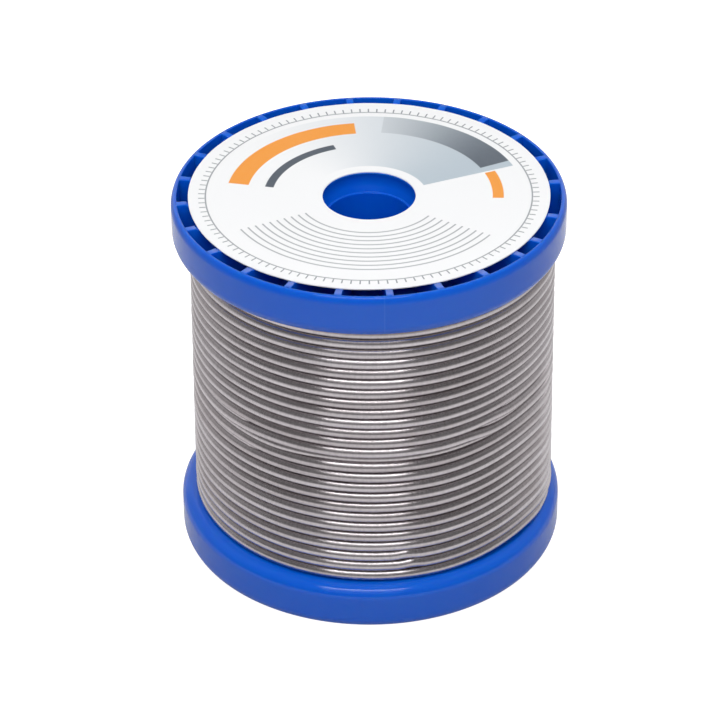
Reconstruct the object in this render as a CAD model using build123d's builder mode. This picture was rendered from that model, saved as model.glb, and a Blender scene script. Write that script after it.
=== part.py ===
"""Solder wire spool: a reel of three mouldings, its paper label and seven layers of wire.

Millimetres, +Z up along the reel's axis, origin on that axis in the plane of the bottom rim.
"""
from build123d import *
import math
import os

os.makedirs("parts", exist_ok=True)

# Reel, overall
overall_height = 49.8
flange_radius = 25.0
flange_height = 5.75

# Flange moulding, with depths taken from its own outer face inwards
rim_wall = 0.75
outer_edge_bevel = 0.5  # drawn for a round of 0.8
winding_edge_bevel = 1.1  # drawn for a round of 1.5
web_wall = 1.4
socket_wall = 1.4
disc_wall = 1.3
label_seat_radius = 23.0
label_seat_depth = 0.3

# Hub of each flange: a cup, and a tube for the holder's rod that runs on to the reel's middle
cup_radius = 5.75
cup_depth = 3.25
cup_wall = 1.0
bore_radius = 5.3
tube_gap = 0.1  # between the two flanges' tubes

# Radial ribs under the label
rib_count = 24
rib_width = 0.95
first_rib_angle = 5.9
set_back_ribs = (22, 23)  # the last two ribs stand closer to their forerunners
rib_set_back = 5.25

# Barrel
barrel_radius = 14.15
barrel_wall = 1.5
press_clearance = 0.05  # between the barrel and each flange's socket

# Label
label_thickness = 0.12
label_edge_clearance = 0.1  # from the label's edge to the edge of its seat
label_clearance = 0.02  # under the label

# Wire
wire_diameter = 1.5
winding_clearance = 0.04  # between the winding and what it lies on or against
least_bare_flange = 1.5  # flange left standing above the full reel
turns_per_ridge = 3  # the outer layer is drawn as ridges of about this many turns

# Worked out from the sizes above
seat_depth = label_seat_depth + disc_wall
hub_outer_radius = cup_radius + cup_wall
tube_end = (overall_height - tube_gap) / 2
socket_radius = barrel_radius + press_clearance
socket_outer_radius = socket_radius + socket_wall
rim_inner_radius = flange_radius - rim_wall
label_radius = label_seat_radius - label_edge_clearance
web_level = flange_height - web_wall
winding_bottom = flange_height + winding_clearance
winding_top = overall_height - winding_bottom
winding_inner_radius = barrel_radius + winding_clearance
layer_step = wire_diameter * math.sqrt(3) / 2  # round wire nests in the grooves of the layer below
layer_room = flange_radius - least_bare_flange - winding_inner_radius - wire_diameter
layers = 1 + int(layer_room // layer_step)
winding_radius = winding_inner_radius + wire_diameter + (layers - 1) * layer_step
gap_floor_radius = winding_radius - layer_step
turns = int((winding_top - winding_bottom) // wire_diameter)
lower_turns = turns // 2
upper_turns = turns - lower_turns


def flange_section():
    """Half section of a flange, outer face down, as (radius, level) points."""
    return [
        (flange_radius - outer_edge_bevel, 0),
        (flange_radius, outer_edge_bevel),
        (flange_radius, flange_height - winding_edge_bevel),
        (flange_radius - winding_edge_bevel, flange_height),
        (socket_radius, flange_height),
        (socket_radius, seat_depth),
        (hub_outer_radius, seat_depth),
        (hub_outer_radius, tube_end),
        (bore_radius, tube_end),
        (bore_radius, cup_depth),
        (cup_radius, cup_depth),
        (cup_radius, label_seat_depth),
        (socket_outer_radius, label_seat_depth),
        (socket_outer_radius, web_level),
        (rim_inner_radius, web_level),
        (rim_inner_radius, 0),
    ]


def rib_roots():
    """Places in the socket's wall where the ribs start, each turned to its rib's angle."""
    root_radius = socket_outer_radius - socket_wall / 2
    roots = []
    for index in range(rib_count):
        angle = first_rib_angle + index * 360 / rib_count
        if index in set_back_ribs:
            angle -= rib_set_back
        bearing = math.radians(angle)
        root = (root_radius * math.cos(bearing), root_radius * math.sin(bearing), 0)
        roots.append(Location(root, (0, 0, angle)))
    return roots


def moulded_flange():
    """One flange with its outer face on the XY plane and its winding side up."""
    rib_length = rim_inner_radius - socket_outer_radius + socket_wall / 2
    with BuildPart() as flange:
        with BuildSketch(Plane.XZ):
            with BuildLine():
                Polyline(*flange_section(), close=True)
            make_face()
        revolve(axis=Axis.Z)
        # Ribs stand on the web and run from the socket's wall to the rim's.
        with BuildSketch():
            with Locations(*rib_roots()):
                Rectangle(rib_length + rim_wall / 4, rib_width, align=(Align.MIN, Align.CENTER))
        extrude(amount=flange_height - web_wall / 2)
        # The label's seat is cut into the rib tops.
        with BuildSketch():
            Circle(label_seat_radius)
        extrude(amount=label_seat_depth, mode=Mode.SUBTRACT)
    return flange.part


def ridged_group(foot_level, group_turns):
    """Outline of a group of turns as (radius, level) points: ridges with a V groove between them.

    A groove is as deep and half as wide as the hollow between two neighbouring turns of the wire.
    """
    half_groove = wire_diameter / 2
    ridges = round(group_turns / turns_per_ridge)
    group_height = group_turns * wire_diameter
    points = [(winding_radius, foot_level)]
    for ridge in range(1, ridges):
        level = foot_level + group_height * ridge / ridges
        points.append((winding_radius, level - half_groove))
        points.append((winding_radius - half_groove, level))
        points.append((winding_radius, level + half_groove))
    points.append((winding_radius, foot_level + group_height))
    return points


# Bottom flange, open side down
bottom_flange = moulded_flange()
bottom_flange.label = "bottom_flange"
export_step(bottom_flange, "parts/bottom_flange.step")

# Top flange, a like moulding with its open side up
top_flange = mirror(moulded_flange(), about=Plane.XY)
top_flange = top_flange.moved(Location((0, 0, overall_height)))
top_flange.label = "top_flange"
export_step(top_flange, "parts/top_flange.step")

# Barrel, its ends pressed into the sockets of the flanges
with BuildPart() as barrel:
    barrel_foot = seat_depth + press_clearance
    with BuildSketch(Plane.XY.offset(barrel_foot)):
        Circle(barrel_radius)
        Circle(barrel_radius - barrel_wall, mode=Mode.SUBTRACT)
    extrude(amount=overall_height - 2 * barrel_foot)
barrel.part.label = "barrel"
export_step(barrel.part, "parts/barrel.step")

# Paper label, stuck on its seat in the top flange
with BuildPart() as label:
    with BuildSketch(Plane.XY.offset(overall_height - label_seat_depth + label_clearance)):
        Circle(label_radius)
        Circle(cup_radius, mode=Mode.SUBTRACT)
    extrude(amount=label_thickness)
label.part.label = "label"
export_step(label.part, "parts/label.step")

# Wire, one closed solid of its wound shape. Its outer layer lies in two groups of turns, with the
# room that is left over between them, where the layer below shows.
with BuildPart() as solder_wire:
    lower_group_top = winding_bottom + lower_turns * wire_diameter
    upper_group_bottom = winding_top - upper_turns * wire_diameter
    with BuildSketch(Plane.XZ):
        with BuildLine():
            Polyline(
                (winding_inner_radius, winding_bottom),
                *ridged_group(winding_bottom, lower_turns),
                (gap_floor_radius, lower_group_top),
                (gap_floor_radius, upper_group_bottom),
                *ridged_group(upper_group_bottom, upper_turns),
                (winding_inner_radius, winding_top),
                close=True,
            )
        make_face()
    revolve(axis=Axis.Z)
solder_wire.part.label = "solder_wire"
export_step(solder_wire.part, "parts/solder_wire.step")

print(f"{layers} layers of wire, {turns} turns in the outer one, {2 * winding_radius:.2f} mm across")
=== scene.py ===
"""Dress of the solder wire spool: moulded blue reel, dished paper label and wound wire.

Sizes of pieces are millimetres, and depths and soft edges of finishes are metres. Bearings are
degrees round the reel's axis, 0 at the front (-Y) and positive towards +X. Meshes are made in
metres, in the frame that the model is in.
"""
from __future__ import annotations

import logging
import math
from dataclasses import dataclass
from enum import Enum
from typing import Any

import bpy
import numpy as np
from mathutils import Matrix, Vector


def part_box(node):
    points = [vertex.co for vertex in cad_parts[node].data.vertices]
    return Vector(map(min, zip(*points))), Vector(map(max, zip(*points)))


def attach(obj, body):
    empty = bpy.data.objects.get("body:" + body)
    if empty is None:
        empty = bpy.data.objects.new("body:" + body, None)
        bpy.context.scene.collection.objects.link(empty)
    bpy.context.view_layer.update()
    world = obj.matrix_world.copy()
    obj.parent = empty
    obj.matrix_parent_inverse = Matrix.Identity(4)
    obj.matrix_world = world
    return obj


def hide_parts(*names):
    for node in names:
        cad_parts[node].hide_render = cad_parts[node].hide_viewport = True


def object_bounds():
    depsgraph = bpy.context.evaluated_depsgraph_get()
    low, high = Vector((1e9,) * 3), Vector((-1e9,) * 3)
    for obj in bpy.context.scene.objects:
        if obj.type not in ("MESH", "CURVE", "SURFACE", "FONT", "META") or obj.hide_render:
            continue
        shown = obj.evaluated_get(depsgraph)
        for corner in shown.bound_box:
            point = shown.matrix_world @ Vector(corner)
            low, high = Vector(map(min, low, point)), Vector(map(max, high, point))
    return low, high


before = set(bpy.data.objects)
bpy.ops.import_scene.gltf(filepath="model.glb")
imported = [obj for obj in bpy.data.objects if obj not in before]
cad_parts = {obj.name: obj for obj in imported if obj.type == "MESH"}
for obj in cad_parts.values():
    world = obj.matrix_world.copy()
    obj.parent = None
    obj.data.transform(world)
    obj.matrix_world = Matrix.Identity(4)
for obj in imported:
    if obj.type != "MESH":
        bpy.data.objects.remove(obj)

LOG = logging.getLogger("spool")
MM = 0.001
BODY = "root"
CAD_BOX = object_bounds()
NOISE_SPAN = (0.3, 0.7)  # nearly all values of a noise texture lie between these

Colour = tuple[float, float, float, float]
Triple = tuple[float, float, float]
Span = tuple[float, float]
Socket = bpy.types.NodeSocket


class Slot(Enum):
    """Material slots of the record."""

    PLASTIC = "blue_plastic"
    PAPER = "label_paper"
    SOLDER = "solder_alloy"


class Side(Enum):
    """The end of the reel that a flange stands at: the sign turns its outer face down or up."""

    BOTTOM = 1
    TOP = -1


# ---------------------------------------------------------------- numpy surfaces


def smoothstep(value: np.ndarray | float, low: float, high: float) -> np.ndarray:
    """Ease from 0 at low to 1 at high with the cubic 3t^2 - 2t^3.

    Args:
        value: Where to ease.
        low: Value at which the result leaves 0.
        high: Value at which it reaches 1.

    Returns:
        The eased values.
    """
    t = np.clip((np.asarray(value, float) - low) / (high - low), 0.0, 1.0)
    return t * t * (3.0 - 2.0 * t)


def hump(value: np.ndarray, rise: Span, fall: Span) -> np.ndarray:
    """Ease from 0 to 1 over the first span and back to 0 over the second."""
    return smoothstep(value, *rise) * (1.0 - smoothstep(value, *fall))


def local_bearing(bearing: np.ndarray) -> np.ndarray:
    """Bring bearings that count on from turn to turn to between -180 and 180."""
    return (bearing + 180.0) % 360.0 - 180.0


def rounded_outline(corners: np.ndarray, radii: np.ndarray, steps: int = 8,
                    hold: float = 0.03) -> np.ndarray:
    """Round every corner of a closed outline with an arc tangent to its two edges.

    The arc's centre lies on the corner's bisector, a radius from both edges, and its points turn
    evenly from one tangent point to the other. One point more on each edge, a hold away, keeps the
    flat faces flat under smooth shading.

    Args:
        corners: Corner points, shape (n, 2).
        radii: Radius at each corner, shape (n,).
        steps: Segments in each arc.
        hold: Distance from an arc's end to the point that holds the flat face.

    Returns:
        The outline's points, shape (n * (steps + 3), 2).
    """
    back = np.roll(corners, 1, axis=0) - corners
    ahead = np.roll(corners, -1, axis=0) - corners
    back /= np.linalg.norm(back, axis=1, keepdims=True)
    ahead /= np.linalg.norm(ahead, axis=1, keepdims=True)
    half = 0.5 * np.arccos(np.clip(np.sum(back * ahead, axis=1), -1.0, 1.0))
    reach = radii / np.tan(half)
    start = corners + back * reach[:, None]
    end = corners + ahead * reach[:, None]
    bisector = back + ahead
    bisector /= np.linalg.norm(bisector, axis=1, keepdims=True)
    centre = corners + bisector * (radii / np.sin(half))[:, None]
    first = np.arctan2(*(start - centre).T[::-1])
    turn = np.arctan2(*(end - centre).T[::-1]) - first
    turn = (turn + math.pi) % (2.0 * math.pi) - math.pi
    angle = first[:, None] + turn[:, None] * np.linspace(0.0, 1.0, steps + 1)[None, :]
    circle = np.stack([np.cos(angle), np.sin(angle)], axis=-1)
    arc = centre[:, None, :] + radii[:, None, None] * circle
    before = (start + back * hold)[:, None, :]
    after = (end + ahead * hold)[:, None, :]
    return np.concatenate([before, arc, after], axis=1).reshape(-1, 2)


def revolved(outline: np.ndarray, bearings: np.ndarray) -> np.ndarray:
    """Turn an outline round the reel's axis: x = r sin(b), y = -r cos(b), z = level.

    Args:
        outline: (radius, level) points in millimetres, shape (n, 2).
        bearings: Bearings in degrees, shape (m,).

    Returns:
        Points in metres, shape (m, n, 3).
    """
    b = np.radians(bearings)[:, None]
    radius, level = outline[None, :, 0], outline[None, :, 1]
    return MM * np.stack([radius * np.sin(b), -radius * np.cos(b), level + 0.0 * b], axis=-1)


def grid_faces(rows: int, columns: int, wrap_rows: bool, wrap_columns: bool) -> np.ndarray:
    """Corner indices of the quads of a grid, row by row.

    Args:
        rows: Points along the first direction.
        columns: Points along the second direction.
        wrap_rows: Whether the last row joins the first.
        wrap_columns: Whether the last column joins the first.

    Returns:
        Indices, shape (quads, 4).
    """
    row, column = np.meshgrid(np.arange(rows if wrap_rows else rows - 1),
                              np.arange(columns if wrap_columns else columns - 1), indexing="ij")
    here, ahead = row * columns, (row + 1) % rows * columns
    beside = (column + 1) % columns
    return np.stack([here + column, ahead + column, ahead + beside, here + beside], -1).reshape(-1, 4)


def outward(points: np.ndarray, quads: np.ndarray) -> np.ndarray:
    """Turn the quads of a closed mesh so that they face outwards.

    The sum over the faces of the corner-by-corner triple product is the enclosed volume, and it is
    negative where the faces point inwards.

    Args:
        points: Vertices, shape (n, 3).
        quads: Corner indices, shape (m, 4).

    Returns:
        The quads, reversed if they faced inwards.
    """
    a, b, c, d = (points[quads[:, k]] for k in range(4))
    volume = np.sum(np.cross(a, b) * c) + np.sum(np.cross(a, c) * d)
    return quads if volume > 0.0 else quads[:, ::-1]


def linked(name: str, data: bpy.types.ID) -> bpy.types.Object:
    """Make an object of a mesh, a camera or a light and link it to the scene.

    Args:
        name: Name of the object.
        data: What it shows.

    Returns:
        The new object.
    """
    made = bpy.data.objects.new(name, data)
    bpy.context.scene.collection.objects.link(made)
    return made


def mesh_object(name: str, points: np.ndarray, quads: np.ndarray,
                uv: np.ndarray | None = None) -> bpy.types.Object:
    """Make a smooth-shaded mesh object at the origin and link it to the scene.

    Args:
        name: Name of the object and its mesh.
        points: Vertices in metres, shape (n, 3).
        quads: Corner indices, shape (m, 4).
        uv: Coordinates of the corners of the quads, shape (m, 4, 2), if the mesh has any.

    Returns:
        The new object.
    """
    mesh = bpy.data.meshes.new(name)
    mesh.vertices.add(len(points))
    mesh.vertices.foreach_set("co", points.astype(np.float32).ravel())
    mesh.loops.add(quads.size)
    mesh.loops.foreach_set("vertex_index", quads.astype(np.int32).ravel())
    mesh.polygons.add(len(quads))
    mesh.polygons.foreach_set("loop_start", np.arange(0, quads.size, 4, dtype=np.int32))
    mesh.update(calc_edges=True)
    if uv is not None:
        layer = mesh.uv_layers.new(name="UVMap")
        layer.data.foreach_set("uv", uv.astype(np.float32).ravel())
    mesh.polygons.foreach_set("use_smooth", np.ones(len(quads), dtype=bool))
    mesh.validate()
    return linked(name, mesh)


def ring_object(name: str, points: np.ndarray) -> bpy.types.Object:
    """Make a closed ring of an outline's points at each bearing round the axis.

    Args:
        name: Name of the object.
        points: Points in metres, shape (bearings, outline points, 3).

    Returns:
        The new object.
    """
    quads = grid_faces(*points.shape[:2], wrap_rows=True, wrap_columns=True)
    flat = points.reshape(-1, 3)
    return mesh_object(name, flat, outward(flat, quads))


def settle(piece: bpy.types.Object, material: bpy.types.Material) -> None:
    """Ride a finished piece on the reel's body and give it its material.

    Args:
        piece: The finished object.
        material: Material to wear.
    """
    piece.data.materials.append(material)
    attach(piece, BODY)
    LOG.info("%s: %d faces", piece.name, len(piece.data.polygons))


# ---------------------------------------------------------------- node helpers


class NodeSheet:
    """A node tree with short ways to add, set and link nodes."""

    def __init__(self, tree: bpy.types.NodeTree) -> None:
        """Keep the tree to work on."""
        self.tree = tree

    def fill(self, node: bpy.types.Node, inputs: dict[int | str, Any]) -> None:
        """Fill a node's inputs.

        Args:
            node: The node.
            inputs: Input sockets by name or number, each a value or a socket to link from.
        """
        for key, value in inputs.items():
            if isinstance(value, Socket):
                self.tree.links.new(value, node.inputs[key])
            else:
                node.inputs[key].default_value = value

    def add(self, kind: str, inputs: dict[int | str, Any] | None = None,
            **settings: Any) -> bpy.types.Node:
        """Add a node, set its properties and fill its inputs.

        Args:
            kind: Node type, where a shader node leaves out its ShaderNode prefix.
            inputs: What fills its inputs.
            settings: Its properties.

        Returns:
            The new node.
        """
        node = self.tree.nodes.new(kind if kind.startswith("Node") else "ShaderNode" + kind)
        for key, value in settings.items():
            setattr(node, key, value)
        self.fill(node, inputs or {})
        return node

    def math(self, operation: str, *values: Any) -> Socket:
        """Result of a Math node on numbers or sockets, given in order."""
        return self.add("Math", dict(enumerate(values)), operation=operation).outputs[0]

    def product(self, first: Any, *others: Any) -> Socket:
        """Multiply numbers or sockets, one after the other.

        Args:
            first: The first number or socket.
            others: What it is multiplied by.

        Returns:
            The product.
        """
        for other in others:
            first = self.math("MULTIPLY", first, other)
        return first

    def ramp(self, value: Any, low: float, high: float, start: float = 0.0, end: float = 1.0) -> Socket:
        """Ease a value from start at low to end at high, held beyond both."""
        limits = {0: value, 1: low, 2: high, 3: start, 4: end}
        return self.add("MapRange", limits, interpolation_type="SMOOTHSTEP").outputs[0]

    def between(self, value: Any, low: float, high: float, soft: float) -> Socket:
        """Mask that is 1 between two limits and eases over a soft stretch on each side of both."""
        rise = self.ramp(value, low - soft, low + soft)
        return self.product(rise, self.ramp(value, high - soft, high + soft, 1.0, 0.0))

    def strokes(self, count: Socket, edge: Span) -> Socket:
        """Mask of fine lines, one wherever a count is a whole number."""
        return self.ramp(self.math("PINGPONG", count, 0.5), *edge, 1.0, 0.0)

    def mix(self, factor: Any, first: Any, second: Any) -> Socket:
        """Mix two colours by a factor."""
        return self.add("Mix", {0: factor, 6: first, 7: second}, data_type="RGBA").outputs[2]

    def noise(self, vector: Any, scale: Any, detail: float = 2.0) -> Socket:
        """Noise value at a vector."""
        return self.add("TexNoise", {"Vector": vector, "Scale": scale, "Detail": detail}).outputs["Fac"]

    def bumped(self, height: Socket, depth: float, strength: float) -> Socket:
        """Normal that follows a height, where 1 stands for the depth in metres."""
        return self.add("Bump", {"Strength": strength, "Distance": depth, "Height": height}).outputs[0]

    def grained(self, grain: bpy.types.NodeTree, place: Socket, scale: float, coarse: float) -> Socket:
        """Value of the surface grain at a place."""
        inputs = {"Vector": place, "Scale": scale, "Coarse": coarse}
        return self.add("Group", inputs, node_tree=grain).outputs["Value"]

    def scaled(self, vector: Socket, scale: Triple, turn: float = 0.0) -> Socket:
        """Scale a vector along its axes and turn it about the third one, in radians."""
        inputs = {"Vector": vector, "Scale": scale, "Rotation": (0.0, 0.0, turn)}
        return self.add("Mapping", inputs).outputs[0]

    def rays(self) -> tuple[Socket, Socket]:
        """Mask of the camera's rays, and mask of the rays that are mirrored or passed on."""
        ray = self.add("LightPath").outputs
        return ray["Is Camera Ray"], self.math("MAXIMUM", ray["Is Glossy Ray"], ray["Is Transmission Ray"])


def new_material(name: str) -> tuple[bpy.types.Material, NodeSheet, bpy.types.Node]:
    """Start a node material.

    Args:
        name: Name of the material.

    Returns:
        The material, a sheet on its tree and its Principled shader.
    """
    material = bpy.data.materials.new(name)
    material.use_nodes = True
    return material, NodeSheet(material.node_tree), material.node_tree.nodes["Principled BSDF"]


def grain_group() -> bpy.types.NodeTree:
    """Build the shader node group of fine grain that plastic and paper share.

    Its value lies about 0.5, for roughness and bump. It blends fine noise with noise about eight
    times as wide.

    Returns:
        The group.
    """
    wide_share = 0.12  # scale of the wide noise, as a share of the fine one's
    group = bpy.data.node_groups.new("surface_grain", "ShaderNodeTree")
    group.interface.new_socket(name="Vector", in_out="INPUT", socket_type="NodeSocketVector")
    for name, usual in (("Scale", 800.0), ("Coarse", 0.4)):
        socket = group.interface.new_socket(name=name, in_out="INPUT", socket_type="NodeSocketFloat")
        socket.default_value = usual
    group.interface.new_socket(name="Value", in_out="OUTPUT", socket_type="NodeSocketFloat")
    sheet = NodeSheet(group)
    given = sheet.add("NodeGroupInput").outputs
    fine = sheet.noise(given["Vector"], given["Scale"], detail=3.0)
    wide = sheet.noise(given["Vector"], sheet.product(given["Scale"], wide_share))
    blend = sheet.add("Mix", {0: given["Coarse"], 2: fine, 3: wide})
    sheet.add("NodeGroupOutput", {"Value": blend.outputs[0]})
    return group


# ---------------------------------------------------------------- finishes


@dataclass(frozen=True)
class MouldedPlastic:
    """Glossy injection-moulded blue plastic, with the line where its flows met on one flange."""

    colour: Colour = (0.001, 0.116, 0.69, 1.0)
    pale: Colour = (0.02, 0.16, 0.72, 1.0)
    cloud_scale: float = 60.0
    cloud_share: float = 0.1
    roughness: Span = (0.07, 0.14)
    refraction: float = 1.45
    glow: float = 0.35
    glow_depth: float = 0.0015
    glow_spread: Triple = (0.1, 0.35, 1.0)
    grain_scale: float = 700.0
    grain_coarse: float = 0.5
    grain_depth: float = 0.000001
    grain_strength: float = 0.35
    line_bearing: float = 4.2
    line_half_width: float = 0.16
    line_front: Span = (20.0, 18.0)  # the line fades between these distances from the axis
    line_tint: float = 0.5
    line_height: float = 4.0

    def flow_line(self, sheet: NodeSheet, place: Socket) -> Socket:
        """Mask of the upright line on the front of the rim, along which x + y tan(bearing) is 0.

        Args:
            sheet: Sheet of the material.
            place: Object coordinates.

        Returns:
            The mask.
        """
        axes = sheet.add("SeparateXYZ", {0: place}).outputs
        slope = math.tan(math.radians(self.line_bearing))
        offset = sheet.math("ADD", axes["X"], sheet.product(axes["Y"], slope))
        near = sheet.ramp(sheet.math("ABSOLUTE", offset), 0.0, self.line_half_width * MM, 1.0, 0.0)
        full, gone = self.line_front
        return sheet.product(near, sheet.ramp(axes["Y"], -full * MM, -gone * MM, 1.0, 0.0))

    def build(self, name: str, grain: bpy.types.NodeTree, lined: bool) -> bpy.types.Material:
        """Make the plastic.

        Args:
            name: Name of the material.
            grain: The surface grain group.
            lined: Whether the flow line shows at the front of the rim.

        Returns:
            The material.
        """
        material, sheet, shader = new_material(name)
        place = sheet.add("TexCoord").outputs["Object"]
        marks = sheet.grained(grain, place, self.grain_scale, self.grain_coarse)
        cloud = sheet.ramp(sheet.noise(place, self.cloud_scale), *NOISE_SPAN, 0.0, self.cloud_share)
        colour = sheet.mix(cloud, self.colour, self.pale)
        height = marks
        if lined:
            line = self.flow_line(sheet, place)
            colour = sheet.mix(sheet.product(line, self.line_tint), colour, self.pale)
            height = sheet.math("ADD", marks, sheet.product(line, self.line_height))
        sheet.fill(shader, {
            "Base Color": colour,
            "Roughness": sheet.ramp(marks, *NOISE_SPAN, *self.roughness),
            "Normal": sheet.bumped(height, self.grain_depth, self.grain_strength),
            "IOR": self.refraction,
            "Subsurface Weight": self.glow,
            "Subsurface Radius": self.glow_spread,
            "Subsurface Scale": self.glow_depth,
        })
        return material


@dataclass(frozen=True)
class SolderMetal:
    """Drawn soft solder: satin grey metal with draw marks along it and fine chatter across it.

    Painted shade darkens the wire towards the grooves between the turns, grime lies in the marks and the
    chatter, and broad patches have tarnished.
    The highlight is stretched across the draw marks. A scale's first number is for each centimetre
    along the wire, and its second for once round it.
    """

    bright: Colour = (0.68, 0.635, 0.655, 1.0)
    dull: Colour = (0.53, 0.48, 0.49, 1.0)
    # Colour of the grime in the marks and the chatter, and of the painted shade in the grooves.
    grime_and_groove_shade: Colour = (0.095, 0.08, 0.085, 1.0)
    roughness: Span = (0.19, 0.26)
    stretch: float = 0.8
    stretch_turn: float = 0.25
    tarnish_scale: Triple = (0.35, 1.5, 1.0)
    tarnish_span: Span = (0.35, 0.75)
    groove_shade_span: Span = (0.18, 0.28)  # where painted shade darkens the wire towards the grooves: from the wire's outermost line, as a share of the way round
    # How far the painted shade in the grooves darkens the wire.
    groove_shade: float = 0.5
    mark_scale: Triple = (0.6, 40.0, 1.0)
    mark_span: Span = (0.5, 0.72)
    mark_grime: float = 0.3
    mark_height: float = 0.7
    chatter_scale: Triple = (56.0, 2.5, 1.0)
    chatter_slant: float = 0.35
    chatter_span: Span = (0.35, 0.7)
    chatter_grime: float = 0.15
    chatter_height: float = 0.3
    depth: float = 0.000003
    strength: float = 0.15

    def build(self) -> bpy.types.Material:
        """Make the metal on the UV map of the wire, whose outermost line is at 0.5.

        Returns:
            The material.
        """
        material, sheet, shader = new_material("solder_metal")
        uv = sheet.add("TexCoord").outputs["UV"]
        marks = sheet.noise(sheet.scaled(uv, self.mark_scale), 1.0, detail=3.0)
        chatter = sheet.noise(sheet.scaled(uv, self.chatter_scale, self.chatter_slant), 1.0, detail=1.0)
        tarnish = sheet.noise(sheet.scaled(uv, self.tarnish_scale), 1.0, detail=3.0)
        round_wire = sheet.add("SeparateXYZ", {0: uv}).outputs["Y"]
        aside = sheet.math("ABSOLUTE", sheet.math("SUBTRACT", round_wire, 0.5))
        colour = sheet.mix(sheet.ramp(tarnish, *self.tarnish_span), self.bright, self.dull)
        # Painted shade darkens the wire towards the grooves between the turns; grime darkens the draw marks
        # and the chatter.
        for value, span, share in ((aside, self.groove_shade_span, self.groove_shade),
                                   (marks, self.mark_span, self.mark_grime),
                                   (chatter, self.chatter_span, self.chatter_grime)):
            colour = sheet.mix(sheet.ramp(value, *span, 0.0, share), colour, self.grime_and_groove_shade)
        height = sheet.math("ADD", sheet.product(marks, self.mark_height),
                            sheet.product(chatter, self.chatter_height))
        tangent = sheet.add("Tangent", direction_type="UV_MAP", uv_map="UVMap")
        sheet.fill(shader, {
            "Base Color": colour,
            "Metallic": 1.0,
            "Roughness": sheet.ramp(marks, *NOISE_SPAN, *self.roughness),
            "Normal": sheet.bumped(height, self.depth, self.strength),
            "Tangent": tangent.outputs[0],
            "Anisotropic": self.stretch,
            "Anisotropic Rotation": self.stretch_turn,
        })
        return material


@dataclass(frozen=True)
class Patch:
    """A printed area of the label between two radii and two angles, 0 at +X and 90 at the back."""

    inner: float
    outer: float
    start: float
    end: float

    def angles(self) -> Span:
        """Its two angles in radians."""
        return math.radians(self.start), math.radians(self.end)


@dataclass(frozen=True)
class Fade:
    """A change of strength from one angle to another, counted as a patch's angles are."""

    start: float
    end: float
    first: float
    last: float

    def limits(self) -> tuple[float, float, float, float]:
        """Its two angles in radians, and its strength at each."""
        return math.radians(self.start), math.radians(self.end), self.first, self.last


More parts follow.
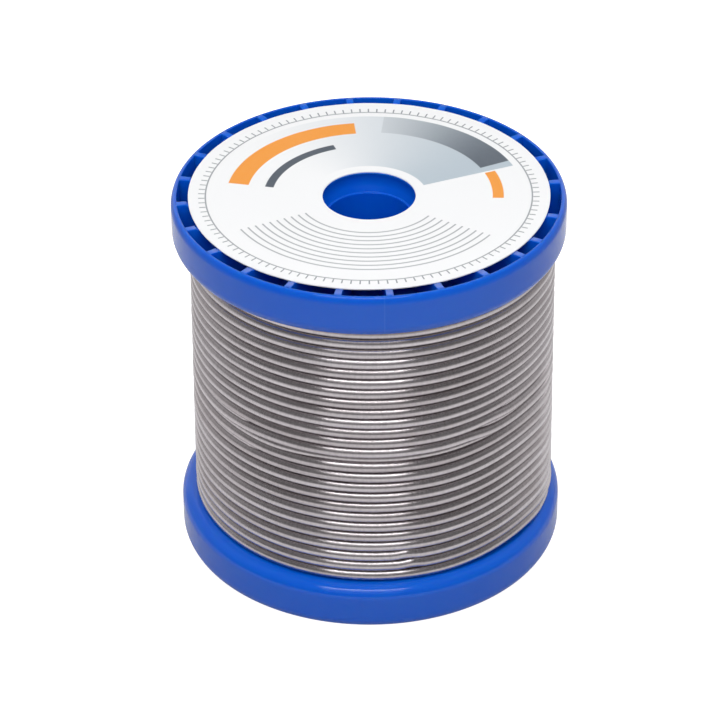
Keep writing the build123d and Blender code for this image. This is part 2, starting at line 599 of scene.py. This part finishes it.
@dataclass(frozen=True)
class PrintedPaper:
    """White label paper with a plain printed pattern of arcs, ticks and soft bands."""

    paper: Colour = (0.905, 0.91, 0.92, 1.0)
    mist: Colour = (0.32, 0.42, 0.5, 1.0)
    orange: Colour = (0.9, 0.33, 0.035, 1.0)
    slate: Colour = (0.07, 0.09, 0.12, 1.0)
    fan: Patch = Patch(7.4, 19.6, 20.0, 176.0)
    fan_fade: Fade = Fade(20.0, 150.0, 0.75, 0.0)
    block: Patch = Patch(15.6, 19.6, 24.0, 84.0)
    block_fade: Fade = Fade(24.0, 92.0, 0.95, 0.15)
    long_arc: Patch = Patch(15.4, 18.0, 96.0, 171.0)
    short_arc: Patch = Patch(15.6, 17.0, -4.0, 19.0)
    inner_arc: Patch = Patch(12.2, 13.3, 110.0, 171.0)
    lines: Patch = Patch(8.7, 18.3, -152.0, -34.0)
    line_edge: Span = (0.08, 0.15)
    line_ink: float = 0.6
    ring: Span = (20.5, 20.68)
    ticks: Span = (20.68, 21.5)
    tick_step: float = 3.0
    tick_edge: Span = (0.06, 0.1)
    ring_ink: float = 0.75
    edge: float = 0.00006
    angle_edge: float = 0.004
    grain_scale: float = 1500.0
    grain_coarse: float = 0.4
    grain_depth: float = 0.00001
    grain_strength: float = 0.3
    roughness: Span = (0.38, 0.5)

    def band(self, sheet: NodeSheet, radius: Socket, limits: Span) -> Socket:
        """Mask that is 1 between two radii in millimetres."""
        return sheet.between(radius, limits[0] * MM, limits[1] * MM, self.edge)

    def pattern(self, sheet: NodeSheet, place: Socket) -> Socket:
        """Print the pattern on the paper.

        Args:
            sheet: Sheet of the material.
            place: Object coordinates.

        Returns:
            The colour.
        """
        axes = sheet.add("SeparateXYZ", {0: place}).outputs
        flat = sheet.add("CombineXYZ", {0: axes["X"], 1: axes["Y"]}).outputs[0]
        radius = sheet.add("VectorMath", {0: flat}, operation="LENGTH").outputs["Value"]
        angle = sheet.math("ARCTAN2", axes["Y"], axes["X"])

        def printed(patch: Patch) -> Socket:
            """Mask that is 1 inside a patch."""
            sector = sheet.between(angle, *patch.angles(), self.angle_edge)
            return sheet.product(self.band(sheet, radius, (patch.inner, patch.outer)), sector)

        def faded(patch: Patch, fade: Fade) -> Socket:
            """Mask of a patch whose strength changes with the angle."""
            return sheet.product(sheet.ramp(angle, *fade.limits()), printed(patch))

        # One fine line for each millimetre of radius, and one tick for each step of the angle.
        lines = sheet.strokes(sheet.math("DIVIDE", radius, MM), self.line_edge)
        ticks = sheet.strokes(sheet.product(angle, math.degrees(1.0) / self.tick_step), self.tick_edge)
        ticks = sheet.product(ticks, self.band(sheet, radius, self.ticks))
        ring = sheet.math("MAXIMUM", self.band(sheet, radius, self.ring), ticks)
        # The fan lies over the back half, the block along its outer edge, and both fade to the left.
        # The long arcs are at the back left, the short one at the right and the lines at the front.
        colour = self.paper
        for mask, ink in ((faded(self.fan, self.fan_fade), self.mist),
                          (faded(self.block, self.block_fade), self.slate),
                          (printed(self.long_arc), self.orange),
                          (printed(self.short_arc), self.orange),
                          (printed(self.inner_arc), self.slate),
                          (sheet.product(lines, printed(self.lines), self.line_ink), self.slate),
                          (sheet.product(ring, self.ring_ink), self.slate)):
            colour = sheet.mix(mask, colour, ink)
        return colour

    def build(self, grain: bpy.types.NodeTree) -> bpy.types.Material:
        """Make the printed paper.

        Args:
            grain: The surface grain group.

        Returns:
            The material.
        """
        material, sheet, shader = new_material("printed_paper")
        place = sheet.add("TexCoord").outputs["Object"]
        marks = sheet.grained(grain, place, self.grain_scale, self.grain_coarse)
        sheet.fill(shader, {
            "Base Color": self.pattern(sheet, place),
            "Roughness": sheet.ramp(marks, *NOISE_SPAN, *self.roughness),
            "Normal": sheet.bumped(marks, self.grain_depth, self.grain_strength),
        })
        return material


# ---------------------------------------------------------------- sub-assemblies


@dataclass
class Flange:
    """One hollow flange: a turned shell with a dished, ribbed outer face, a hub cup and its tube."""

    side: Side
    node: str
    radius: float = 25.0
    rim_wall: float = 0.75
    rim_foot_wall: float = 0.83  # the rim's inner face has draft
    outer_round: Span = (0.62, 1.1)  # across and down
    outer_arcs: Span = (0.4, 1.6)
    round_cut: float = 0.586  # a chamfer that cuts off this share of a round touches its middle
    winding_round: float = 1.5
    web_wall: float = 1.4
    pocket_rounds: Span = (0.25, 0.3)
    socket_radius: float = 14.2
    socket_wall: float = 1.4
    socket_rounds: Span = (0.3, 0.1)
    seat_depth: float = 1.6
    label_seat_radius: float = 23.0
    dish_edge: float = 0.18
    dish_centre: float = 0.68
    lip_round: float = 0.12
    cup_radius: float = 5.85
    cup_depth: float = 3.25
    cup_wall: float = 0.9
    cup_foot: float = 0.3  # the cup narrows by this towards its floor
    cup_foot_round: float = 0.1
    cup_bulge: float = 0.33
    cup_bulge_round: float = 2.4
    bore_radius: float = 5.3
    bore_round: float = 0.08
    tube_round: float = 0.2
    rib_count: int = 24
    rib_width: float = 0.95
    rib_draft: float = 0.08
    rib_rounds: Span = (0.14, 0.05)  # at the top and at the foot
    rib_roots: Span = (0.6, 0.85)  # how deep its ends reach into the socket's and the rim's wall
    rib_stations: Triple = (17.0, 19.0, 21.0)
    rib_step: float = 0.05  # depth of the edge where the label's seat ends
    rib_step_ease: Span = (0.06, 0.02)  # how far the edge is rounded before it and after it
    rib_tip: float = 0.1
    first_rib: float = 95.9
    set_back_ribs: tuple[int, ...] = (22, 23)
    rib_set_back: float = 5.25
    winding_clearance: float = 0.04
    bearings: int = 288

    def __post_init__(self) -> None:
        """Read the flange's place and its tube's depth from its node, its height from the wire's."""
        low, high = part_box(self.node)
        self.tube_depth = (high.z - low.z) / MM
        self.face = (low.z if self.side is Side.BOTTOM else high.z) / MM
        self.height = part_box("solder_wire")[0].z / MM - self.winding_clearance

    def dish(self, radius: np.ndarray | float) -> np.ndarray:
        """Depth of the dished face: a straight fall from the seat's edge to the cup."""
        fall = (self.dish_centre - self.dish_edge) / (self.label_seat_radius - self.cup_radius)
        return self.dish_edge + fall * (self.label_seat_radius - np.asarray(radius, float))

    def section(self) -> np.ndarray:
        """Half section with rounded corners, once round from the rim's outer edge.

        The rim's outer edge is a tall round of two arcs. The cup's wall bulges in the middle, and
        below its floor the tube runs on to the reel's middle.

        Returns:
            (radius, depth) points, depth taken inwards from the outer face, shape (n, 2).
        """
        web = self.height - self.web_wall
        socket_out = self.socket_radius + self.socket_wall
        cup_out = self.cup_radius + self.cup_wall
        across, down = self.outer_round
        corners = np.array([
            # The rim's outside, and the winding side with the barrel's socket in it.
            (self.radius - self.round_cut * across, 0.0, self.outer_arcs[0]),
            (self.radius, self.round_cut * down, self.outer_arcs[1]),
            (self.radius, self.height, self.winding_round),
            (self.socket_radius, self.height, self.socket_rounds[0]),
            (self.socket_radius, self.seat_depth, self.socket_rounds[1]),
            # The tube, and the cup above it.
            (cup_out, self.seat_depth, self.tube_round),
            (cup_out, self.tube_depth, self.tube_round),
            (self.bore_radius, self.tube_depth, self.tube_round),
            (self.bore_radius, self.cup_depth, self.bore_round),
            (self.cup_radius - self.cup_foot, self.cup_depth, self.cup_foot_round),
            (self.cup_radius + self.cup_bulge, self.cup_depth / 2.0, self.cup_bulge_round),
            (self.cup_radius, float(self.dish(self.cup_radius)), self.lip_round),
            # The label's seat, and the pockets' inner wall, floor and outer wall.
            (socket_out, float(self.dish(socket_out)), self.lip_round),
            (socket_out, web, self.pocket_rounds[0]),
            (self.radius - self.rim_foot_wall, web, self.pocket_rounds[1]),
            (self.radius - self.rim_wall, 0.0, self.lip_round),
        ])
        return rounded_outline(corners[:, :2], corners[:, 2])

    def placed(self, depth: np.ndarray) -> np.ndarray:
        """Levels of depths below the outer face, upwards or downwards by the side."""
        return self.face + self.side.value * depth

    def carried(self, outline: np.ndarray, bearings: np.ndarray) -> np.ndarray:
        """Carry an outline of (radius, depth) points round the axis, in metres."""
        return revolved(np.column_stack([outline[:, 0], self.placed(outline[:, 1])]), bearings)

    def shell(self) -> bpy.types.Object:
        """Turned shell: the section carried once round the axis."""
        bearings = np.linspace(0.0, 360.0, self.bearings, endpoint=False)
        return ring_object(self.node + "_shell", self.carried(self.section(), bearings))

    def rib_bearings(self) -> np.ndarray:
        """Bearings of the ribs, evenly spaced but for the two that are set back."""
        rib, step = np.arange(self.rib_count), 360.0 / self.rib_count
        return self.first_rib + rib * step - self.rib_set_back * np.isin(rib, self.set_back_ribs)

    def ribs(self) -> bpy.types.Object:
        """All ribs as closed bars: a rounded section carried outwards from socket to rim.

        At each station the top follows the dish, and beyond the label's seat it is level with the
        rim. The first and last stations shrink to a point, to close the ends inside the walls.

        Returns:
            The ribs, as one object.
        """
        half, wide = self.rib_width / 2.0, self.rib_width / 2.0 + self.rib_draft
        foot = self.height - self.web_wall / 2.0
        inner = self.socket_radius + self.socket_wall * self.rib_roots[0]
        outer = self.radius - self.rim_wall * self.rib_roots[1]
        seat = self.label_seat_radius
        before, after = self.rib_step_ease
        stations = np.array([inner, inner, *self.rib_stations, seat - before, seat, seat + after,
                             outer - self.rib_tip, outer, outer])
        top = np.where(stations < seat, self.dish(stations), 0.0)
        top[stations == seat] = self.rib_step
        section = rounded_outline(np.array([(-half, 0.0), (half, 0.0), (wide, foot), (-wide, foot)]),
                                  np.repeat(self.rib_rounds, 2), steps=5)
        width = np.ones((len(stations), 1))
        width[[0, -1]] = 0.0
        across = section[None, :, 0] * width
        level = section[:, 1] / foot
        depth = top[:, None] + (foot - top)[:, None] * level[None, :]
        depth = np.where(width > 0.0, depth, foot / 2.0)
        b = np.radians(self.rib_bearings())[:, None, None]
        x = stations[:, None] * np.sin(b) + across * np.cos(b)
        y = -stations[:, None] * np.cos(b) + across * np.sin(b)
        z = np.broadcast_to(self.placed(depth)[None], x.shape)
        points = MM * np.stack([x, y, z], axis=-1)
        rib = grid_faces(*across.shape, wrap_rows=False, wrap_columns=True)
        rib = outward(points[0].reshape(-1, 3), rib)
        quads = rib[None] + across.size * np.arange(self.rib_count)[:, None, None]
        return mesh_object(self.node + "_ribs", points.reshape(-1, 3), quads.reshape(-1, 4))

    def build(self, material: bpy.types.Material) -> None:
        """Build, dress and settle both pieces of the flange in place of its node.

        Args:
            material: The flange's plastic.
        """
        shell, ribs = self.shell(), self.ribs()
        for piece in (shell, ribs):
            settle(piece, material)
        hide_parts(self.node)


@dataclass
class Barrel:
    """The hidden tube that joins the flanges. It keeps the mesh of its node."""

    node: str = "barrel"

    def dress(self, material: bpy.types.Material) -> None:
        """Give the tube the flanges' plastic.

        Args:
            material: The plastic.
        """
        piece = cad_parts[self.node]
        piece.data.materials.clear()
        piece.data.materials.append(material)
        LOG.info("%s: %d faces", self.node, len(piece.data.polygons))


@dataclass
class Label:
    """The paper ring that lies in the dish of the top flange, a hair off its middle."""

    flange: Flange
    radius: float = 22.82
    hole_radius: float = 5.88
    shift: Span = (0.03, 0.15)
    thickness: float = 0.12
    clearance: float = 0.02
    sag: float = 0.012
    sag_phase: float = 0.7
    sag_from: Span = (15.0, 22.0)
    rings: int = 14
    bearings: int = 240
    cut_angle: float = 50.0

    def build(self, material: bpy.types.Material) -> None:
        """Turn the thin dished section and let the paper sag a little between the ribs.

        The sag is a sine with one wave for each rib, and grows from the socket to the edge.

        Args:
            material: The printed paper.
        """
        rings = np.linspace(self.hole_radius, self.radius, self.rings)
        under = self.flange.dish(rings) - self.clearance
        over = under - self.thickness
        outline = np.concatenate([np.column_stack([rings, under]), np.column_stack([rings, over])[::-1]])
        bearings = np.linspace(0.0, 360.0, self.bearings, endpoint=False)
        points = self.flange.carried(outline, bearings)
        wave = np.sin(self.flange.rib_count * np.radians(bearings)[:, None] + self.sag_phase)
        points[..., 2] += MM * self.sag * (wave * smoothstep(outline[None, :, 0], *self.sag_from) - 1.0)
        points[..., :2] += MM * np.array(self.shift)
        piece = ring_object("paper_label", points)
        cut = piece.modifiers.new("cut_edges", "EDGE_SPLIT")
        cut.split_angle = math.radians(self.cut_angle)
        settle(piece, material)
        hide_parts("label")


@dataclass
class Winding:
    """The wound wire: the outer layer's turns, and the layer below, which nests in their grooves.

    Turns count from 0 at the top. Bearings count on from turn to turn, and a local bearing is the
    same place on the reel between -180 and 180.
    """

    wire: float = 1.48
    upper_turns: int = 13
    lower_turns: int = 12
    upper_pitch: float = 1.473
    headroom: float = 0.11
    footroom: float = 0.01
    lower_top: float = 23.3
    radius: float = 23.433
    taper: float = 0.384
    shift: Span = (0.42, 0.29)
    # The wire crosses from turn to turn at these bearings, high up and low down on the reel.
    crossings: Span = (89.0, 77.0)
    crossing_half: float = 25.0
    lowered: Span = (10.0, 14.0)  # turns over which the crossing moves from the first to the second
    # Its start comes up from the layer below, and its end dips in below the last turn.
    start_climb: float = 70.0
    end_bearing: float = 92.0
    end_dip: float = 14.0
    end_depth: float = 0.9
    # The spare height lies between the two groups of turns. It moves down by a share of a turn on
    # the left and up by some turns on the right, and is spread over more turns to both sides.
    gap_left: Span = (50.0, 75.0)
    gap_left_move: float = 0.3
    gap_right: Span = (28.0, 55.0)
    gap_right_move: float = 1.5
    gap_back: Span = (115.0, 175.0)
    gap_spread: Span = (30.0, 70.0)
    gap_width: float = 0.5
    gap_more_width: float = 2.2
    # Once they are loose, turns rise on the right before they cross. They also droop a little on
    # the left until they lie tight again.
    loose: Span = (3.0, 14.0)
    tight: Span = (21.0, 24.0)
    rise: tuple[Span, Span] = ((20.0, 53.0), (55.0, 88.0))
    rise_height: float = 0.45
    droop: tuple[Span, Span] = ((45.0, 80.0), (80.0, 130.0))
    droop_depth: float = 0.12
    # Two small dents at the front: the turn that each is on, the bearing where it starts, and how
    # it rises and falls from there.
    dents: tuple[Span, ...] = ((22.0, 7.0), (23.0, 9.0))
    dent: tuple[Span, Span] = ((0.0, 4.0), (5.0, 9.0))
    dent_height: float = 0.16
    # Where outer turns stand apart, the layer below is lifted towards them, more so at the sides.
    lift: float = 0.4
    lift_left: Span = (12.0, 35.0)
    lift_left_more: float = 0.3
    lift_right: Span = (30.0, 50.0)
    lift_right_more: float = 0.2
    lift_back: Span = (110.0, 170.0)
    lift_gap: float = 1.62
    sink: float = 0.1
    sink_gap: Span = (1.6, 2.0)
    level_wander: float = 0.01
    radius_wander: float = 0.018
    wander_steps: int = 6
    per_turn: int = 220
    around: int = 17
    crowding: float = 0.12
    tip: float = 0.0001
    seed: int = 11

    def __post_init__(self) -> None:
        """Read the winding's two ends from the wire's node and share out its height."""
        low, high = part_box("solder_wire")
        self.low, self.high = low.z / MM, high.z / MM
        self.top = self.high - self.wire / 2.0 - self.headroom
        self.turns = self.upper_turns + self.lower_turns
        lower_room = self.lower_top - self.low - self.wire / 2.0 - self.footroom
        self.lower_pitch = lower_room / (self.lower_turns - 1)
        upper_foot = self.top - self.upper_pitch * (self.upper_turns - 1)
        self.spare = upper_foot - self.lower_top - (self.upper_pitch + self.lower_pitch) / 2.0
        self.start = self.crossings[0] - self.crossing_half
        self.end = self.end_bearing + 360.0 * self.turns

    def passed(self, bearing: np.ndarray) -> np.ndarray:
        """Turns passed at a bearing, 0 after the crossing at the start.

        Whole turns stay level, and at each crossing the count eases on by one. The lower turns
        cross a little earlier than the upper ones.

        Args:
            bearing: Bearings in degrees.

        Returns:
            Turns passed.
        """
        high, low = self.crossings
        crossing = high + (low - high) * smoothstep(bearing / 360.0, *self.lowered)
        u = (bearing - crossing) / 360.0
        nearest = np.floor(u + 0.5)
        half = self.crossing_half / 360.0
        return nearest + smoothstep(u - nearest, -half, half) - 1.0

    def wander(self, count: int, size: float, rng: np.random.Generator) -> np.ndarray:
        """Smooth random path: values a part of a turn apart, joined by cosine steps.

        Args:
            count: Points on the path.
            size: Standard deviation of the values.
            rng: Source of the random values.

        Returns:
            The path, shape (count,).
        """
        spacing = self.per_turn // self.wander_steps
        knots = rng.normal(0.0, size, count // spacing + 3)
        at = np.arange(count) / spacing
        i = at.astype(int)
        t = 0.5 - 0.5 * np.cos(np.pi * (at - i))
        return knots[i] * (1.0 - t) + knots[i + 1] * t

    def reach(self, bearing: np.ndarray, level: np.ndarray) -> np.ndarray:
        """Radius of the winding's outside, which tapers upwards and lies a little off the axis.

        Args:
            bearing: Bearings in degrees.
            level: Levels at them.

        Returns:
            Radii.
        """
        b = np.radians(bearing)
        side, back = self.shift
        middle = (self.low + self.high) / 2.0
        tapered = self.radius - self.taper * (level - middle) / (2.0 * middle)
        return tapered + side * np.sin(b) - back * np.cos(b)

    def tube(self, radius: np.ndarray, bearing: np.ndarray, level: np.ndarray,
             name: str) -> bpy.types.Object:
        """Carry the wire's round section along a path given in cylinder coordinates.

        A point is the path's point plus wire/2 times (cos a outwards + sin a upwards). The section
        has closer points on its outer half, and the ends close to a point. The UV map grows by the
        same step from station to station, 1 for each centimetre of the outer layer, and by 1 round
        the wire.

        Args:
            radius: Radius of the path at each station.
            bearing: Bearing of each station.
            level: Level of the path at each station.
            name: Name of the piece.

        Returns:
            The wire as an object.
        """
        a = np.linspace(-1.0, 1.0, self.around, endpoint=False)
        a = np.pi * (a - self.crowding * np.sin(np.pi * a))
        size = np.full((len(bearing), 1), self.wire / 2.0)
        size[[0, -1]] = self.tip
        r = radius[:, None] + size * np.cos(a)[None]
        z = level[:, None] + size * np.sin(a)[None]
        b = np.radians(bearing)[:, None]
        flat = (MM * np.stack([r * np.sin(b), -r * np.cos(b), z], axis=-1)).reshape(-1, 3)
        quads = grid_faces(len(bearing), self.around, wrap_rows=False, wrap_columns=True)
        step = 2.0 * np.pi * self.radius / self.per_turn
        length = np.cumsum(np.full(len(bearing), step)) / 10.0
        ring = np.arange(self.around)
        columns = np.tile(np.stack([ring, ring, ring + 1, ring + 1], -1), (len(bearing) - 1, 1))
        uv = np.stack([length[quads // self.around], columns / self.around], axis=-1)
        turned = outward(flat, quads)
        if turned is not quads:
            uv = uv[:, ::-1]
        return mesh_object(name, flat, turned, uv)

    def outer_levels(self, bearing: np.ndarray) -> np.ndarray:
        """Level of the wire's middle along the outer layer, from the top turn down.

        The turns are stacked by their pitches, and the spare height is added between the two
        groups. At the front all of it lies between two turns. On the right the turns below it rise
        before they cross and take it up, and far to the sides it is shared among a few turns.

        Args:
            bearing: Bearings in degrees.

        Returns:
            Levels in millimetres.
        """
        passed, local = self.passed(bearing), local_bearing(bearing)
        last_upper = self.upper_turns - 0.5
        stacked = (self.upper_pitch * np.minimum(passed, last_upper)
                   + self.lower_pitch * np.maximum(passed - last_upper, 0.0))
        moved = (self.gap_left_move * smoothstep(-local, *self.gap_left)
                 - self.gap_right_move * smoothstep(local, *self.gap_right))
        middle = last_upper + moved * (1.0 - smoothstep(np.abs(local), *self.gap_back))
        width = self.gap_width + self.gap_more_width * smoothstep(np.abs(local), *self.gap_spread)
        share = smoothstep((passed - middle) / width, -1.0, 1.0)
        bent = (self.rise_height * hump(local, *self.rise)
                - self.droop_depth * hump(-local, *self.droop) * (1.0 - smoothstep(passed, *self.tight)))
        level = self.top - stacked - self.spare * share + bent * smoothstep(passed, *self.loose)
        for number, at in self.dents:
            level = level + self.dent_height * hump(local - at, *self.dent) * (np.round(passed) == number)
        return np.clip(level, self.low + self.wire / 2.0, self.high - self.wire / 2.0)

    def outer_layer(self) -> bpy.types.Object:
        """Wind the outer layer, with a small unevenness from turn to turn.

        Returns:
            The layer as one object.
        """
        rng = np.random.default_rng(self.seed)
        count = int((self.end - self.start) / 360.0 * self.per_turn)
        bearing = np.linspace(self.start, self.end, count)
        level = self.outer_levels(bearing) + self.wander(count, self.level_wander, rng)
        radius = self.reach(bearing, level) - self.wire / 2.0 + self.wander(count, self.radius_wander, rng)
        buried = 1.0 - smoothstep(bearing, self.start, self.start + self.start_climb)
        buried = buried + self.end_depth * smoothstep(bearing, self.end - self.end_dip, self.end)
        return self.tube(radius - self.wire * buried, bearing, level, "wire_outer_turns")

    def layer_below(self) -> bpy.types.Object:
        """Wind the layer below the outer one.

        A turn lies midway between two outer turns and touches both, so that its depth is the
        square root of wire^2 - (half their distance)^2. Where they stand apart, it is lifted.

        Returns:
            The layer as one object.
        """
        bearing = np.linspace(self.start, self.end - 360.0, self.per_turn // 2 * (self.turns - 1))
        local = local_bearing(bearing)
        above, under = self.outer_levels(bearing), self.outer_levels(bearing + 360.0)
        apart = above - under
        more = (self.lift_left_more * smoothstep(-local, *self.lift_left)
                + self.lift_right_more * smoothstep(local, *self.lift_right))
        lift = self.lift + more * (1.0 - smoothstep(np.abs(local), *self.lift_back))
        depth = np.sqrt(np.maximum(self.wire ** 2 - (apart / 2.0) ** 2, 0.0))
        depth = depth * (1.0 - lift * smoothstep(apart, self.wire, self.lift_gap))
        level = (above + under) / 2.0 - self.sink * smoothstep(apart, *self.sink_gap)
        radius = self.reach(bearing, level) - self.wire / 2.0 - depth
        return self.tube(radius, bearing, level, "wire_layer_below")

    def build(self, material: bpy.types.Material) -> None:
        """Build both layers, dress them and settle them in place of the wire's node.

        Args:
            material: The solder.
        """
        outer, below = self.outer_layer(), self.layer_below()
        for piece in (outer, below):
            settle(piece, material)
        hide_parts("solder_wire")


# ---------------------------------------------------------------- studio


def direction(bearing: float, elevation: float) -> Vector:
    """Direction from the reel's middle, of length 1, from a bearing and an elevation in degrees."""
    b, e = math.radians(bearing), math.radians(elevation)
    return Vector((math.sin(b) * math.cos(e), -math.cos(b) * math.cos(e), math.sin(e)))


@dataclass(frozen=True)
class Lamp:
    """A soft rectangular light of even radiance, where 1 shows as white.

    Its place and spread are in degrees as seen from the reel, and its distance is in metres. A
    lamp that isn't mirrored lights surfaces evenly and doesn't show in glossy ones.
    """

    name: str
    bearing: float
    elevation: float
    spread: Span
    radiance: float
    distance: float = 1.0
    mirrored: bool = True


@dataclass
class Studio:
    """Pale floor, soft lights, dim room in front of the reel and bright backdrop behind it.

    The floor is palest between its foot edge and its near edge, and inside its foot edge it is painted
    darker as shade round the reel's foot. Both edges, its size and the camera's clip are in metres.
    """

    lens: float = 167.156
    sensor: float = 36.0
    distance: float = 434.894
    elevation: float = 33.629
    roll: float = 0.313
    shift: Span = (-0.01354, -0.00447)
    clip: Span = (0.01, 50.0)
    aim_height: float = 24.9
    floor_size: float = 6.0
    floor_drop: float = 0.02
    # Painted shade: the floor is darker round the reel's foot, inside the foot edge.
    floor_foot_shade: Colour = (0.48, 0.48, 0.485, 1.0)
    floor_near: Colour = (0.66, 0.66, 0.665, 1.0)
    floor_far: Colour = (0.3, 0.3, 0.3, 1.0)
    foot_shade_edge: Span = (0.027, 0.045)
    near_edge: Span = (0.09, 0.18)
    floor_roughness: float = 0.7
    camera_lift: float = 0.9
    mirror_lift: float = 0.26
    # Brightness of the room in front and behind, by the share of a direction that points back.
    room: Span = (0.17, 0.5)
    room_edge: Span = (-0.45, 0.65)
    white: Colour = (1.0, 1.0, 1.0, 1.0)
    white_edge: Span = (0.65, 0.85)
    lamps: tuple[Lamp, ...] = (
        Lamp("front_light", -6.0, 61.0, (36.0, 24.0), 1.3),
        Lamp("front_strip", -6.0, 67.0, (31.0, 6.0), 6.5),
        Lamp("front_glow", -6.0, 42.0, (38.0, 30.0), 0.35),
        Lamp("overhead_fill", 0.0, 62.0, (80.0, 60.0), 1.38, distance=0.3, mirrored=False),
        Lamp("rear_fill", 180.0, 60.0, (80.0, 40.0), 0.15, mirrored=False),
    )

    def camera(self) -> None:
        """Set the camera in front of the reel, looking down at its middle."""
        data = bpy.data.cameras.new("camera")
        data.lens, data.sensor_width = self.lens, self.sensor
        data.shift_x, data.shift_y = self.shift
        data.clip_start, data.clip_end = self.clip
        camera = linked("camera", data)
        back = direction(0.0, self.elevation)
        camera.location = Vector((0.0, 0.0, self.aim_height * MM)) + back * self.distance * MM
        turn = (-back).to_track_quat("-Z", "Y").to_matrix().to_4x4()
        roll = Matrix.Rotation(math.radians(-self.roll), 4, "Z")
        camera.rotation_euler = (turn @ roll).to_euler()
        bpy.context.scene.camera = camera

    def hang(self, lamp: Lamp) -> None:
        """Hang a lamp, turned to the reel's middle. Its power is pi times its radiance and its area.

        Args:
            lamp: The lamp.
        """
        width, height = (2.0 * lamp.distance * math.tan(math.radians(angle) / 2.0) for angle in lamp.spread)
        data = bpy.data.lights.new(lamp.name, "AREA")
        data.shape, data.size, data.size_y = "RECTANGLE", width, height
        data.energy = lamp.radiance * math.pi * width * height
        light = linked(lamp.name, data)
        out = direction(lamp.bearing, lamp.elevation)
        light.location = out * lamp.distance + Vector((0.0, 0.0, self.aim_height * MM))
        light.rotation_euler = out.to_track_quat("Z", "Y").to_euler()
        light.visible_camera = False
        light.visible_glossy = lamp.mirrored

    def floor(self) -> None:
        """Lay the floor under the reel's bottom rim, white to the eye where nothing shades it."""
        half, level = self.floor_size / 2.0, CAD_BOX[0].z - self.floor_drop * MM
        corners = np.array([(-half, -half, level), (half, -half, level),
                            (half, half, level), (-half, half, level)])
        floor = mesh_object("floor", corners, np.array([[0, 1, 2, 3]]))
        material, sheet, shader = new_material("pale_floor")
        place = sheet.add("TexCoord").outputs["Object"]
        away = sheet.add("VectorMath", {0: place}, operation="LENGTH").outputs["Value"]
        colour = sheet.mix(sheet.ramp(away, *self.near_edge), self.floor_near, self.floor_far)
        # Painted shade round the reel's foot.
        colour = sheet.mix(sheet.ramp(away, *self.foot_shade_edge), self.floor_foot_shade, colour)
        sheet.fill(shader, {"Base Color": colour, "Roughness": self.floor_roughness})
        to_camera, mirrored = sheet.rays()
        strength = sheet.math("MAXIMUM", sheet.product(to_camera, self.camera_lift),
                              sheet.product(mirrored, self.mirror_lift))
        lift = sheet.add("Emission", {"Strength": strength})
        both = sheet.add("AddShader", {0: shader.outputs[0], 1: lift.outputs[0]})
        sheet.fill(material.node_tree.nodes["Material Output"], {"Surface": both.outputs[0]})
        floor.data.materials.append(material)

    def surroundings(self) -> None:
        """Light the room, dim in front of the reel and brighter behind it.

        It is white to the eye, and what metal mirrors from behind the reel is white too.
        """
        world = bpy.data.worlds.new("surroundings")
        bpy.context.scene.world = world
        world.use_nodes = True
        sheet = NodeSheet(world.node_tree)
        back = sheet.add("SeparateXYZ", {0: sheet.add("TexCoord").outputs["Generated"]}).outputs["Y"]
        room = world.node_tree.nodes["Background"]
        sheet.fill(room, {"Color": self.white, "Strength": sheet.ramp(back, *self.room_edge, *self.room)})
        white = sheet.add("Background", {"Color": self.white, "Strength": 1.0})
        to_camera, mirrored = sheet.rays()
        behind = sheet.product(mirrored, sheet.ramp(back, *self.white_edge))
        share = sheet.math("MAXIMUM", to_camera, behind)
        mixed = sheet.add("MixShader", {0: share, 1: room.outputs[0], 2: white.outputs[0]})
        sheet.fill(world.node_tree.nodes["World Output"], {"Surface": mixed.outputs[0]})

    def build(self) -> None:
        """Place the camera, floor, lamps and surroundings."""
        bpy.context.scene.view_settings.view_transform = "Standard"
        self.camera()
        self.floor()
        for lamp in self.lamps:
            self.hang(lamp)
        self.surroundings()


def main() -> None:
    logging.basicConfig(level=logging.INFO, format="%(name)s: %(message)s")
    grain = grain_group()
    plastic = MouldedPlastic()
    lined = plastic.build("blue_plastic_top", grain, lined=True)
    plain = plastic.build("blue_plastic_plain", grain, lined=False)
    paper = PrintedPaper().build(grain)
    solder = SolderMetal().build()
    top = Flange(Side.TOP, "top_flange")
    top.build(lined)
    Flange(Side.BOTTOM, "bottom_flange").build(plain)
    Barrel().dress(plain)
    Label(top).build(paper)
    Winding().build(solder)
    Studio().build()
    bpy.context.view_layer.update()


if __name__ == "__main__":
    main()
